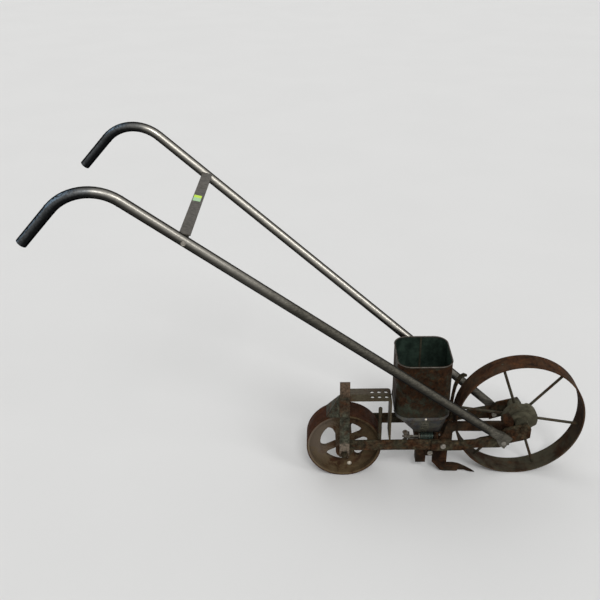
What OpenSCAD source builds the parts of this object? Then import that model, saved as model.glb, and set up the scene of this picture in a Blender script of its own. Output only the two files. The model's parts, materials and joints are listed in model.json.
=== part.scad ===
// Walk-behind single-row seed drill with a spoked drive wheel and a cast press wheel.
// Millimetres. +X is the way it travels, +Z is up, the ground is z = 0, y = 0 is its middle plane.
// Places along x are measured from the rear axle and shifted by x_shift.

/* [Wheels] */
// distance between the two axles
wheelbase = 560; // [520:1:640]
// outside radius of the front wheel hoop
front_r = 206; // [190:1:216]
// width of the front wheel hoop
front_w = 70; // [50:1:84]
// thickness of the front wheel hoop
hoop_t = 5; // [3:0.5:9]
// number of front wheel spokes
spoke_n = 6; // [5:1:8]
// diameter of a front wheel spoke
spoke_d = 9; // [6:0.5:12]
// angle of the first spoke seen from the right side
spoke_turn = 50; // [0:1:90]
// radius of the front hub drum
drum_r = 40; // [34:1:44]
// radius of the notched trip cam beside the front hub drum
cam_r = 57; // [50:1:64]
// outside radius of the rear press wheel
rear_r = 120; // [110:1:130]
// width of the rear press wheel
rear_w = 76; // [50:1:90]
// thickness of the press wheel rim
rim_t = 9; // [5:0.5:14]
// outer radius of the four windows in the press wheel
window_r = 76; // [60:1:90]
// width of the press wheel spokes between the windows
web_spoke = 20; // [12:1:30]

/* [Frame] */
// distance from the middle plane to the middle of a rear rail
rail_y = 72; // [66:0.5:84]
// height of the rail bars
rail_h = 37; // [30:1:42]
// thickness of the flat bars
bar_t = 6; // [4:0.5:8]
// height of the middle of the rail bars
rail_z = 148.5; // [142:0.5:156]
// height of the frame bolt
bolt_z = 149; // [142:1:153]
// gap between the frame bolt and the back of the front wheel
bolt_gap = 43; // [38:1:60]
// height of the handle bolt
hb_z = 162; // [156:1:172]
// top of the tall post beside the press wheel
post_top = 389; // [370:1:420]
// top of the short post on the far side
post_low = 212; // [190:1:290]
// width of the posts
post_w = 31; // [24:1:38]
// height of the depth strap
strap_z = 317; // [300:1:345]
// width of the depth strap
strap_w = 64; // [50:1:70]
// gap between the depth strap and the hopper
strap_gap = 12; // [6:1:40]
// top of the round pin beside the strap
pin_top = 286; // [240:1:320]

/* [Hopper] */
// height of the hopper rim
can_top = 450; // [400:1:520]
// height where the can meets the bowl
can_low = 266; // [240:1:300]
// size of the can along the machine
can_l = 168; // [150:1:180]
// size of the can across the machine
can_w = 183; // [160:1:190]
// corner radius of the can
can_r = 42; // [25:1:60]
// distance of the hopper middle behind the frame bolt
can_back = 70; // [64:1:78]
// thickness of the hopper sheet
sheet_t = 1.6; // [1.2:0.1:3]
// bottom of the bowl
bowl_low = 168; // [165:1:180]

/* [Opener] */
// width of the shank along the machine
shank_w = 48; // [40:1:52]
// width of the opener across the machine
shoe_w = 52; // [40:1:60]
// wall of the opener
shoe_t = 6; // [4:0.5:8]
// length of the curved toe ahead of the shank
toe_l = 94; // [84:1:104]
// gap between the shoe and the ground
shoe_gap = 3; // [2:1:10]

/* [Handles] */
// outside diameter of the handle tube
tube_d = 28.5; // [22:0.5:34]
// wall of the handle tube
tube_wall = 2; // [1.5:0.1:3]
// distance from the middle plane to the handle at its bend
handle_top_y = 288; // [220:1:330]
// height of the point where the straight part and the grip would meet
handle_top_z = 1109; // [980:1:1180]
// distance behind the rear axle of that point
handle_back = 634; // [540:1:700]
// length of the grip measured from that point
grip_l = 227; // [190:1:260]
// slope of the grip below the level
grip_drop = 46.7; // [30:0.1:60]
// bend radius of the tube
bend_r = 120; // [90:1:135]
// thickness of the pressed lower end
flat_t = 5; // [3:0.5:6]
// how far up the straight part the brace sits
brace_at = 0.809; // [0.6:0.001:0.85]
// width of the brace
brace_w = 29; // [20:1:34]
// thickness of the brace
brace_t = 4; // [3:0.5:6]

/* [Hidden] */
$fn = 48;
e = 0.02;
seat = 0.3;
run = 0.05;
clear = 5;

// axles and layers of flat bars on each side
front_x = wheelbase;
front_z = front_r;
rear_z = rear_r;
axle_d = 16;
rear_axle_d = 14;
post_y = rail_y + bar_t + seat;
front_rail_y = post_y;
low_y = front_rail_y + bar_t / 2 + seat + flat_t / 2;
rail_low = rail_z - rail_h / 2;
rail_up = rail_z + rail_h / 2;

// frame bolt, handle bolt and the bolt that clamps the spout to the opener
bolt_x = front_x - front_r - bolt_gap;
shank_x = bolt_x + 2;
can_x = bolt_x - can_back;
strap_end = can_x - can_l / 2 - strap_gap;
bolt_d = 12;
hb_x = front_x - 60;
hb_d = 10;
clamp_x = bolt_x - 31.5;
clamp_z = 84;
clamp_d = 8;

// handle ends and bend
low_x = front_x - 30;
top_p = [-handle_back, handle_top_y, handle_top_z];
lift = 17;
slope = atan2(handle_top_z - hb_z - lift, handle_back + hb_x);
low_p = [low_x, low_y, hb_z + lift - (low_x - hb_x) * tan(slope)];
grip_p = [top_p[0] - grip_l * cos(grip_drop), top_p[1] + 12, top_p[2] - grip_l * sin(grip_drop)];
x_shift = -(front_x + front_r + grip_p[0] - tube_d / 2 * sin(grip_drop)) / 2;

function unit(v) = v / norm(v);
dir_low = unit(low_p - top_p);
dir_grip = unit(grip_p - top_p);
bend_open = acos(dir_low * dir_grip);
bend_t = bend_r / tan(bend_open / 2);
bend_c = top_p + unit(dir_low + dir_grip) * bend_r / sin(bend_open / 2);
bend_a = top_p + dir_low * bend_t;
bend_b = top_p + dir_grip * bend_t;

// brace between the tubes: place, tilt and the angle of its ends in plan
brace_p = low_p + (top_p - low_p) * brace_at;
brace_tilt = 13;
brace_rise = 12;
brace_deep = 22;
brace_k = dir_low[1] / (dir_low[0] * cos(brace_tilt) - dir_low[2] * sin(brace_tilt));
brace_turn = atan(brace_k);

// feed casting between the rails and the layer of the feed linkage beside it
body_rear = bolt_x - 86;
body_front = bolt_x + 34;
body_low = rail_low - 8;
body_near = -44;
way_x = bolt_x - 60;
feed_t = 12;
feed_y = body_near - seat - feed_t / 2;
bowl_x = can_x + 25;
bowl_foot = [88, 76];
rod_z = 170;
rod_y_place = -56;
rod_d = 7;

// moves a piece from rear axle places to the shared frame
module at() {
  translate([x_shift, 0, 0]) children();
}

// cylinder along y between y0 and y1
module rod_y(x, z, y0, y1, d) {
  translate([x, y1, z]) rotate([90, 0, 0]) cylinder(d = d, h = y1 - y0);
}

// the same shape on the other side of the middle plane
module other_side() {
  mirror([0, 1, 0]) children();
}

// flat bar in an upright plane, drawn as (x, z) points and given its middle y
module plate_y(y, t) {
  translate([0, y + t / 2, 0]) rotate([90, 0, 0]) linear_extrude(t) children();
}

// rounded rectangle centred on the origin
module round_rect(w, d, r) {
  union() {
    square([w - 2 * r, d], center = true);
    square([w, d - 2 * r], center = true);
    for (sx = [-1, 1]) for (sy = [-1, 1])
      translate([sx * (w / 2 - r), sy * (d / 2 - r)]) circle(r = r);
  }
}

// each spoke of the front wheel in turn, along +z of its own place
module each_spoke() {
  for (i = [0 : spoke_n - 1])
    translate([front_x, 0, front_z]) rotate([0, -spoke_turn - i * 360 / spoke_n, 0])
      rotate([0, 90, 0]) children();
}

module front_rim() {
  color("sienna") at() difference() {
    rod_y(front_x, front_z, -front_w / 2, front_w / 2, 2 * front_r, $fn = 120);
    rod_y(front_x, front_z, -front_w / 2 - 1, front_w / 2 + 1, 2 * (front_r - hoop_t), $fn = 120);
    each_spoke() translate([0, 0, front_r - hoop_t - 2]) cylinder(d = spoke_d - 2 + 0.04, h = hoop_t + 4);
  }
}

module front_spokes() {
  color("dimgray") at() each_spoke() {
    translate([0, 0, drum_r - 12]) cylinder(d = spoke_d, h = front_r - hoop_t - drum_r + 12 - e);
    translate([0, 0, front_r - hoop_t - 4]) cylinder(d = spoke_d - 2, h = hoop_t + 4 - 0.5);
  }
}

// drum towards the feed side, bearing sleeve through the wheel and a trip cam with three notches
module front_hub() {
  sleeve = rail_y - bar_t / 2 - clear;
  notch = 20;
  color("darkkhaki") at() difference() {
    union() {
      rod_y(front_x, front_z, -38, 10, 2 * drum_r);
      rod_y(front_x, front_z, -sleeve, sleeve, 44);
      difference() {
        union() {
          rod_y(front_x, front_z, -28, -8, 2 * cam_r, $fn = 96);
          rod_y(front_x, front_z, -30, -6, 2 * cam_r - 5, $fn = 96);
        }
        for (i = [0 : 2]) translate([front_x, 0, front_z]) rotate([0, 35 + i * 120, 0])
          rod_y(cam_r + notch - 9, 0, -31, -5, 2 * notch);
      }
    }
    rod_y(front_x, front_z, -sleeve - 1, sleeve + 1, axle_d + 2 * run);
    each_spoke() translate([0, 0, drum_r - 12 - e]) cylinder(d = spoke_d + 0.04, h = 2 * drum_r);
  }
}

module front_axle() {
  face = rail_y + bar_t / 2 + seat;
  color("gray") at() union() {
    rod_y(front_x, front_z, -face - 7, face + 7, axle_d);
    rod_y(front_x, front_z, -face - 5, -face, 23, $fn = 6);
    rod_y(front_x, front_z, face, face + 5, 23, $fn = 6);
  }
}

// cast wheel: rim, dished web with four windows, and a long hub
module rear_wheel() {
  web_y = -10;
  web_t = 12;
  hub = 27;
  pane = window_r - web_spoke / 2 - 2;
  color("rosybrown") at() difference() {
    union() {
      difference() {
        rod_y(0, rear_z, -rear_w / 2, rear_w / 2, 2 * rear_r, $fn = 120);
        rod_y(0, rear_z, -rear_w / 2 - 1, web_y - web_t / 2, 2 * (rear_r - rim_t), $fn = 120);
        rod_y(0, rear_z, web_y + web_t / 2, rear_w / 2 + 1, 2 * (rear_r - rim_t), $fn = 120);
      }
      rod_y(0, rear_z, -rail_y + bar_t / 2 + clear, rail_y - bar_t / 2 - clear, 2 * hub);
    }
    translate([0, 0, rear_z]) rotate([0, -26, 0]) plate_y(web_y, web_t + 2) difference() {
      intersection() {
        circle(r = window_r);
        for (i = [0 : 3])
          rotate(i * 90) translate([(web_spoke + pane) / 2, (web_spoke + pane) / 2]) round_rect(pane, pane, 17);
      }
      circle(r = hub + e);
    }
    rod_y(0, rear_z, -rail_y, rail_y, rear_axle_d + 2 * run);
  }
}

module rear_axle() {
  face = post_y + bar_t / 2 + seat;
  color("gray") at() union() {
    rod_y(0, rear_z, -face - 7, face + 7, rear_axle_d);
    rod_y(0, rear_z, -face - 5, -face, 25, $fn = 6);
    rod_y(0, rear_z, face, face + 5, 25, $fn = 6);
  }
}

// level bar that drops round the rear axle at its end
module rear_rail() {
  plate_y(-rail_y, bar_t) difference() {
    polygon([[-post_w / 2, rear_z - 16], [post_w / 2 - 2, rear_z - 16], [post_w / 2 + 16, rail_low],
      [bolt_x + 24, rail_low], [bolt_x + 24, rail_up], [-post_w / 2, rail_up]]);
    translate([bolt_x, bolt_z]) circle(d = bolt_d + 0.4);
    translate([0, rear_z]) circle(d = rear_axle_d + 0.4);
  }
}

module rear_rail_right() {
  color("saddlebrown") at() rear_rail();
}

module rear_rail_left() {
  color("saddlebrown") at() other_side() rear_rail();
}

// bar bolted outside the rear rail, rising towards the handle bolt
module front_rail() {
  plate_y(-front_rail_y, bar_t) difference() {
    polygon([[bolt_x - 36, rail_low], [front_x - 192, rail_low], [front_x - 145, rail_low + 10],
      [hb_x - 12, rail_low + 10], [hb_x + 20, hb_z - 12], [hb_x + 20, hb_z + 26], [hb_x - 35, hb_z + 24],
      [hb_x - 73, hb_z + 16], [hb_x - 88, hb_z + 9], [hb_x - 135, rail_up], [bolt_x - 36, rail_up]]);
    translate([bolt_x, bolt_z]) circle(d = bolt_d + 0.4);
    translate([hb_x, hb_z]) circle(d = hb_d + 0.4);
  }
}

module front_rail_right() {
  color("saddlebrown") at() front_rail();
}

module front_rail_left() {
  color("saddlebrown") at() other_side() front_rail();
}

module rear_post(top) {
  plate_y(-post_y, bar_t) difference() {
    union() {
      translate([-post_w / 2, rear_z]) square([post_w, top - rear_z]);
      translate([0, rear_z]) circle(d = post_w - 0.1);
    }
    translate([0, rear_z]) circle(d = rear_axle_d + 0.4);
  }
}

module rear_post_right() {
  color("slategray") at() rear_post(post_top);
}

module rear_post_left() {
  color("slategray") at() other_side() rear_post(post_low);
}

// wide strap with a turned up end on the post, two rows of three holes, and a leg down to the rail
module depth_strap() {
  y0 = -post_y + bar_t / 2 + seat;
  t = 5;
  tip = strap_end;
  bend = 10;
  color("slategray") at() difference() {
    union() {
      translate([-post_w / 2 + 9, y0 + strap_w, 0]) rotate([90, 0, 0]) linear_extrude(strap_w) difference() {
        union() {
          translate([0, strap_z]) square([tip + post_w / 2 - 9 - bend, t]);
          translate([tip + post_w / 2 - 9 - t, rail_up + seat]) square([t, strap_z - bend + t - rail_up - seat]);
          translate([tip + post_w / 2 - 9 - bend, strap_z + t - bend]) circle(r = bend);
        }
        translate([tip + post_w / 2 - 9 - bend, strap_z + t - bend]) circle(r = bend - t);
        translate([tip + post_w / 2 - 9 - 3 * bend, strap_z - 2 * bend]) square([2 * bend, 2 * bend]);
        translate([tip + post_w / 2 - 9 - 3 * bend, strap_z - 3 * bend + t]) square([3 * bend - t, 2 * bend]);
      }
      translate([-post_w / 2 + 9, y0, strap_z]) cube([post_w - 9, t, 26]);
    }
    for (x = [tip - 59.5, tip - 38, tip - 16.5]) for (s = [-1, 1])
      translate([x, y0 + strap_w * (0.5 + s * 0.21), strap_z - 10]) cylinder(d = 13, h = 20);
  }
}

// round-topped pin that stands against the inside of the right rail
module upright_pin() {
  d = 12;
  low = rail_low + 6;
  color("dimgray") at() translate([strap_end - 34, -rail_y + bar_t / 2 + seat + d / 2, low]) union() {
    cylinder(d = d, h = pin_top - 3 - low);
    translate([0, 0, pin_top - 3 - low - e]) cylinder(d1 = d - 0.2, d2 = d - 5, h = 3);
  }
}

// bent plate from the tall post to an edge across the tread of the press wheel
module wheel_scraper() {
  y0 = -post_y + bar_t / 2 + seat + 2;
  edge_x = -54;
  top = post_top - 48;
  edge_z = rear_z + sqrt(pow(rear_r + clear + 2.2, 2) - edge_x * edge_x);
  color("slategray") at() union() {
    hull() {
      translate([-post_w / 2 + 4, y0, top]) cube(4, center = true);
      translate([-post_w / 2 + 4, y0, edge_z + 24]) cube(4, center = true);
      translate([edge_x, -rear_w / 2, edge_z]) cube(4, center = true);
    }
    hull() {
      translate([-post_w / 2 + 4, y0, top]) cube(4, center = true);
      translate([edge_x, -rear_w / 2, edge_z]) cube(4, center = true);
      translate([edge_x, rear_w / 2 - 18, edge_z]) cube(4, center = true);
    }
  }
}

// bent strip that stands on the feed body beside the wheel and turns over its tread
module front_scraper() {
  t = 5;
  y = -front_w / 2 - clear - t / 2;
  color("saddlebrown") at() translate([front_x - front_r, 0, 0]) plate_y(-y, t)
    polygon([[-22, bowl_low], [-9, bowl_low], [-2, 190], [2, 230], [4, 262], [8, 288], [14, 308], [24, 326],
      [38, 330], [38, 336], [26, 341], [16, 335], [4, 318], [-2, 296], [-6, 262], [-9, 230], [-14, 196],
      [-22, 178]]);
}

// flat end piece that carries the front axle inside the rail
module front_bracket() {
  plate_y(-rail_y, bar_t) difference() {
    polygon([[hb_x - 14, hb_z - 22], [hb_x + 31, hb_z - 8], [front_x + 11, front_z - 42],
      [front_x + 26, front_z - 34], [front_x + 26, front_z], [front_x + 12, front_z + 20],
      [front_x - 18, front_z + 12], [hb_x + 4, hb_z + 46], [hb_x - 14, hb_z + 24]]);
    translate([front_x, front_z]) circle(d = axle_d + 0.3);
    translate([hb_x, hb_z]) circle(d = hb_d + 0.4);
  }
}

module front_bracket_right() {
  color("saddlebrown") at() front_bracket();
}

module front_bracket_left() {
  color("saddlebrown") at() other_side() front_bracket();
}

// bolt through both rails, the feed body and the opener, and the clamp bolt of the spout
module frame_bolts() {
  face = front_rail_y + bar_t / 2 + seat;
  ear = shoe_w / 2 + 4 + 2 * seat;
  color("gray") at() {
    rod_y(bolt_x, bolt_z, -face - 5, face + 9, bolt_d);
    rod_y(bolt_x, bolt_z, -face - 5, -face, 17);
    rod_y(bolt_x, bolt_z, face, face + 8, 21, $fn = 6);
    rod_y(clamp_x, clamp_z, -ear - 5, ear + 7, clamp_d);
    rod_y(clamp_x, clamp_z, -ear - 5, -ear, 17);
    rod_y(clamp_x, clamp_z, ear, ear + 6, 15, $fn = 6);
  }
}

// bolt through the flat end of each handle, its rail and its bracket
module handle_bolts() {
  inner = rail_y - bar_t / 2 - seat;
  outer = low_y + flat_t / 2 + seat;
  color("gray") at() for (s = [0, 1]) mirror([0, s, 0]) {
    rod_y(hb_x, hb_z, -outer - 4, -inner + 7, hb_d);
    rod_y(hb_x, hb_z, -outer - 4, -outer, 15);
    rod_y(hb_x, hb_z, -inner, -inner + 6, 17, $fn = 6);
  }
}

// casting that carries the bowl and holds the opener between the rails
module feed_body() {
  far = rail_y - bar_t / 2 - seat;
  slot_y = shoe_w / 2 + seat;
  lug_x = bolt_x - 21.5;
  color("maroon") at() difference() {
    union() {
      plate_y((far + body_near) / 2, far - body_near)
        polygon([[body_rear, bowl_low - 24], [body_rear + 34, body_low], [body_front, body_low],
          [body_front, bowl_low - seat], [body_rear, bowl_low - seat]]);
      translate([lug_x - 6.5, rod_y_place - 10, rod_z - 18])
        cube([13, body_near - rod_y_place + 10.6, bowl_low - seat - 1 - rod_z + 18]);
      translate([lug_x - 6.5, rod_y_place - 10, rod_z - 17]) cube([13, 17, 27]);
    }
    translate([shank_x - shank_w / 2 - 0.5, -slot_y, body_low - 1])
      cube([body_front - shank_x + shank_w, 2 * slot_y, bolt_z + 13.5 - body_low]);
    translate([way_x - 13, -15, body_low - 1]) cube([26, 30, bowl_low - body_low + 2]);
    rod_y(bolt_x, bolt_z, body_near - 1, far + 1, bolt_d + 0.4);
    translate([lug_x - 20, rod_y_place, rod_z]) rotate([0, 90, 0]) cylinder(d = rod_d + 2 * run, h = 40);
  }
}

module hopper_can() {
  color("darkgreen") at() translate([can_x, 0, can_low]) difference() {
    linear_extrude(can_top - can_low) round_rect(can_l, can_w, can_r);
    translate([0, 0, -1]) linear_extrude(can_top - can_low + 2)
      round_rect(can_l - 2 * sheet_t, can_w - 2 * sheet_t, can_r - sheet_t);
  }
}

// cast bowl that narrows to the feed body, with a thicker lip under the can
module hopper_bowl() {
  wall = 3;
  hole = 9;
  color("lightslategray") at() difference() {
    union() {
      hull() {
        translate([can_x, 0, can_low - 10]) linear_extrude(4) round_rect(can_l - 2, can_w - 2, can_r, $fn = 32);
        translate([bowl_x, 0, bowl_low]) linear_extrude(1) round_rect(bowl_foot[0], bowl_foot[1], 20, $fn = 32);
      }
      translate([can_x, 0, can_low - 10]) linear_extrude(10 - seat) round_rect(can_l + 3, can_w + 3, can_r + 1);
    }
    hull() {
      translate([can_x, 0, can_low - 8]) linear_extrude(10)
        round_rect(can_l - 2 - 2 * wall, can_w - 2 - 2 * wall, can_r - wall, $fn = 32);
      translate([bowl_x, 0, bowl_low + wall]) linear_extrude(1)
        round_rect(bowl_foot[0] - 2 * wall, bowl_foot[1] - 2 * wall, 20 - wall, $fn = 32);
    }
    translate([way_x, 0, bowl_low - 1]) cylinder(r = hole, h = 10);
  }
}

// drop tube under the bowl with two ears that the clamp bolt holds to the opener
module seed_spout() {
  ear_y = shoe_w / 2 + seat;
  low = 34;
  color("maroon") at() difference() {
    union() {
      translate([way_x - 15, -18, low]) cube([32, 36, 58]);
      translate([way_x - 12, -14, low + 50]) cube([24, 28, bowl_low - low - 50 - seat]);
      translate([clamp_x - 14, -ear_y - 4, clamp_z - 14]) cube([10, 2 * ear_y + 8, 28]);
      for (s = [-1, 1])
        translate([clamp_x - 14, s * (ear_y + 2) - 2, clamp_z - 14]) cube([34, 4, 28]);
    }
    translate([way_x - 8, -10, low - 1]) cube([16, 20, bowl_low]);
    rod_y(clamp_x, clamp_z, -ear_y - 6, ear_y + 6, clamp_d + 0.3);
  }
}

// hollow boot whose near cheek runs out into a curved toe that opens the furrow
module opener_shoe() {
  back = shank_x - shank_w / 2;
  front = shank_x + shank_w / 2;
  tip = front + toe_l;
  near = -shoe_w / 2;
  color("saddlebrown") at() difference() {
    union() {
      plate_y(0, shoe_w) polygon([[back, bolt_z + 12], [back, 41], [back + 15, 23], [back + 28, 7],
        [back + 45, shoe_gap], [front, shoe_gap], [front, bolt_z + 12]]);
      intersection() {
        plate_y(near, shoe_w) polygon([[front - 6, shoe_gap + 0.3], [front + 36, shoe_gap + 0.3],
          [front + 39, shoe_gap + 6], [front + 58, shoe_gap + 6.5], [front + 76, shoe_gap + 1], [tip, shoe_gap],
          [tip - 10, 9], [front + 64, 18], [front + 43, 25], [front + 22, 28], [front - 6, 26]]);
        linear_extrude(60) polygon([[front - 6, near + 0.5], [front + 60, near - 3], [tip, near - 8],
          [tip, near - 4], [front + 64, near + 5], [front + 40, near + 12], [front - 6, near + 18]]);
      }
    }
    plate_y(0, shoe_w - 2 * shoe_t) polygon([[back - 1, 110], [back - 1, -1], [shank_x + 12, -1],
      [shank_x + 8, 110]]);
    rod_y(bolt_x, bolt_z, -shoe_w, shoe_w, bolt_d + 0.4);
  }
}

// flat rod from the rocker to a head beside the front hub
module feed_rod() {
  tail_x = bolt_x + 41;
  color("sienna") at() plate_y(feed_y, feed_t)
    polygon([[tail_x, 188], [front_x - 62, 185], [front_x - 27, 181], [front_x - 27, 225],
      [front_x - 45, 250], [front_x - 62, 240], [front_x - 62, 218], [tail_x, 218]]);
}

// arm on the frame bolt that carries the tail of the feed rod
module feed_rocker() {
  tail_x = bolt_x + 41 - seat;
  color("sienna") at() plate_y(feed_y, feed_t) difference() {
    union() {
      translate([bolt_x, bolt_z]) circle(r = 14);
      polygon([[bolt_x - 12, bolt_z + 6], [bolt_x + 13, bolt_z + 4], [bolt_x + 35, 186], [tail_x, 188],
        [tail_x, 218], [bolt_x + 13, 218], [bolt_x + 2, 176]]);
    }
    translate([bolt_x, bolt_z]) circle(d = bolt_d + 0.4);
  }
}

// strip from the feed body back to the wing nut end of the shut-off rod
module shutoff_bracket() {
  x0 = bolt_x - 109;
  t = 4;
  color("gray") at() difference() {
    union() {
      translate([x0, rod_y_place - 9, rod_z - 15]) cube([t, 18, 27]);
      translate([x0, rod_y_place - 9, rod_z - 15]) cube([33, 18, t]);
      translate([body_rear + 1, rod_y_place - 9, rod_z - 15]) cube([9, body_near - seat - rod_y_place + 9, t]);
    }
    translate([x0 - 10, rod_y_place, rod_z]) rotate([0, 90, 0]) cylinder(d = rod_d + 2 * run, h = 30);
  }
}

module shutoff_rod() {
  color("gray") at() translate([bolt_x - 127, rod_y_place, rod_z]) rotate([0, 90, 0]) union() {
    cylinder(d = rod_d, h = 111);
    translate([0, 0, 51]) cylinder(d = 18, h = 4);
  }
}

// close-wound spring between the collar and the lug of the feed body, drawn as one ribbed sleeve
module shutoff_spring() {
  r = rod_d / 2 + 4;
  turns = 9;
  pitch = 4.8;
  color("teal") at() translate([bolt_x - 72 + seat, rod_y_place, rod_z]) rotate([0, 90, 0]) rotate_extrude()
    polygon(concat([[r, 0]], [for (i = [0 : turns - 1]) each [[r + 3, i * pitch], [r + 4.5, i * pitch + 1.2],
      [r + 4.5, i * pitch + 3.2], [r + 3, i * pitch + 4.4]]], [[r, (turns - 1) * pitch + 4.4]]));
}

// nut with two wings behind the bracket
module wing_nut() {
  color("gray") at() translate([bolt_x - 123, rod_y_place, rod_z]) rotate([0, 90, 0]) difference() {
    union() {
      cylinder(d = 16, h = 13.7);
      for (s = [-1, 1]) translate([s * 15, 2, 4]) rotate([90, 0, 0]) cylinder(r = 9, h = 4);
    }
    translate([0, 0, -1]) cylinder(d = rod_d + 2 * run, h = 16);
  }
}

// round bar from p to q
module tube_line(p, q, d) {
  v = q - p;
  translate(p) rotate([0, acos(v[2] / norm(v)), atan2(v[1], v[0])]) cylinder(d = d, h = norm(v));
}

// tube with a bend, a grip and a pressed flat lower end; a thin collar hides each end of the bend
module handle() {
  collar = tube_d + 1;
  difference() {
    union() {
      difference() {
        union() {
          tube_line(bend_a + dir_low * 0.4, low_p - dir_low * 76, tube_d);
          flat_taper();
        }
        translate([hb_x - 150, low_y - flat_t / 2 + 0.1 - 60, hb_z - 60]) cube([200, 60, 220]);
      }
      tube_line(bend_a - dir_low * 1, bend_a + dir_low * 1, collar);
      bend_arc(tube_d);
      tube_line(bend_b + dir_grip * -1, bend_b + dir_grip * 1, collar);
      tube_line(bend_b + dir_grip * 0.4, grip_p, tube_d);
      flat_end();
    }
    tube_line(bend_a + dir_low * 3, low_p - dir_low * 90, tube_d - 2 * tube_wall);
    tube_line(bend_b + dir_grip * 3, grip_p + dir_grip * 2, tube_d - 2 * tube_wall);
    brace_place(1) brace_bore(8.4);
  }
}

// the bend between the straight part and the grip
module bend_arc(d) {
  ax = unit(bend_a - bend_c);
  ay = -dir_low;
  az = cross(ax, ay);
  multmatrix([[ax[0], ay[0], az[0], bend_c[0]], [ax[1], ay[1], az[1], bend_c[1]],
      [ax[2], ay[2], az[2], bend_c[2]], [0, 0, 0, 1]])
    rotate_extrude(angle = 180 - bend_open) translate([bend_r, 0]) circle(d = d);
}

// where the round tube is pressed down to the flat end
module flat_taper() {
  lean = atan2(dir_low[1], dir_low[0]);
  half = tube_d / 2 + 1;
  intersection() {
    tube_line(low_p - dir_low * 90, low_p - dir_low * 42, tube_d - 0.3);
    translate(low_p) rotate([0, acos(dir_low[2]), lean]) rotate([0, -90, 0])
      linear_extrude(60, center = true)
        polygon([[-91, -half - 3], [-91, half], [-77, half], [-42, -3.4], [-42, -half - 3]]);
  }
}

// the flat end with its bolt hole
module flat_end() {
  difference() {
    plate_y(low_y, flat_t) translate([hb_x, hb_z]) rotate(-slope)
      polygon([[-48, 5], [-48, 21], [-38, 26.5], [-22, 29], [12, 29], [18, -15.5], [-4, -15.5], [-30, -4]]);
    rod_y(hb_x, hb_z, low_y - 10, low_y + 10, hb_d + 0.4);
  }
}

module handle_right() {
  color("gainsboro") at() other_side() handle();
}

module handle_left() {
  color("gainsboro") at() handle();
}

// place of the brace on the handle of side s, with x along the brace width and y outwards
module brace_place(s) {
  translate([brace_p[0], s * brace_p[1], brace_p[2]]) rotate([0, brace_tilt, 0]) rotate([0, 0, s * brace_turn])
    mirror([0, s > 0 ? 0 : 1, 0]) children();
}

// bore across the tube at the brace
module brace_bore(d) {
  rotate([90, 0, 0]) cylinder(d = d, h = 2 * tube_d, center = true);
}

// flat bar between the tubes with both ends turned down against them
module handle_brace() {
  gap = tube_d / 2 + seat;
  side = brace_p[1] - (gap + 0.5) / cos(brace_turn);
  color("gray") at() difference() {
    union() {
      translate([brace_p[0], 0, brace_p[2]]) rotate([0, brace_tilt, 0])
        translate([0, 0, brace_rise - brace_t]) linear_extrude(brace_t) polygon([
          [-brace_w / 2, -side + brace_w / 2 * brace_k], [brace_w / 2, -side - brace_w / 2 * brace_k],
          [brace_w / 2, side + brace_w / 2 * brace_k], [-brace_w / 2, side - brace_w / 2 * brace_k]]);
      for (s = [-1, 1]) brace_place(s)
        translate([-brace_w / 2 + 1, -gap - brace_t, brace_rise - brace_deep]) cube([brace_w - 2, brace_t, brace_deep - 0.4]);
    }
    for (s = [-1, 1]) brace_place(s) brace_bore(8.4);
  }
}

module brace_bolts() {
  in = tube_d / 2 + 2 * seat + brace_t;
  out = tube_d / 2 + seat;
  color("gray") at() for (s = [-1, 1]) brace_place(s) rotate([90, 0, 0]) {
    translate([0, 0, -out - 4]) cylinder(d = 8, h = in + out + 10);
    translate([0, 0, -out - 4]) cylinder(d = 13, h = 4);
    translate([0, 0, in]) cylinder(d = 14, h = 5, $fn = 6);
  }
}

front_rim();
front_spokes();
front_hub();
front_axle();
rear_wheel();
rear_axle();
rear_rail_right();
rear_rail_left();
front_rail_right();
front_rail_left();
rear_post_right();
rear_post_left();
depth_strap();
upright_pin();
wheel_scraper();
front_scraper();
front_bracket_right();
front_bracket_left();
frame_bolts();
handle_bolts();
feed_body();
hopper_can();
hopper_bowl();
seed_spout();
opener_shoe();
feed_rod();
feed_rocker();
shutoff_bracket();
shutoff_rod();
shutoff_spring();
wing_nut();
handle_right();
handle_left();
handle_brace();
brace_bolts();
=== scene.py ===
"""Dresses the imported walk-behind seed drill.

Every CAD piece gets its worn finish, and the small things that the solids leave out are built on them:
the wired rim, lap seam and rivets of the hopper, the wound spring, the winged nut, a bolt on the press wheel,
a pin on the feed casting and the blank sticker on the brace. The file is laid out as an add-on and is
run as a script.
"""

import json
import math

import bmesh
import bpy
from bpy.props import FloatProperty, FloatVectorProperty, IntProperty, PointerProperty
from mathutils import Matrix, Vector


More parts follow.
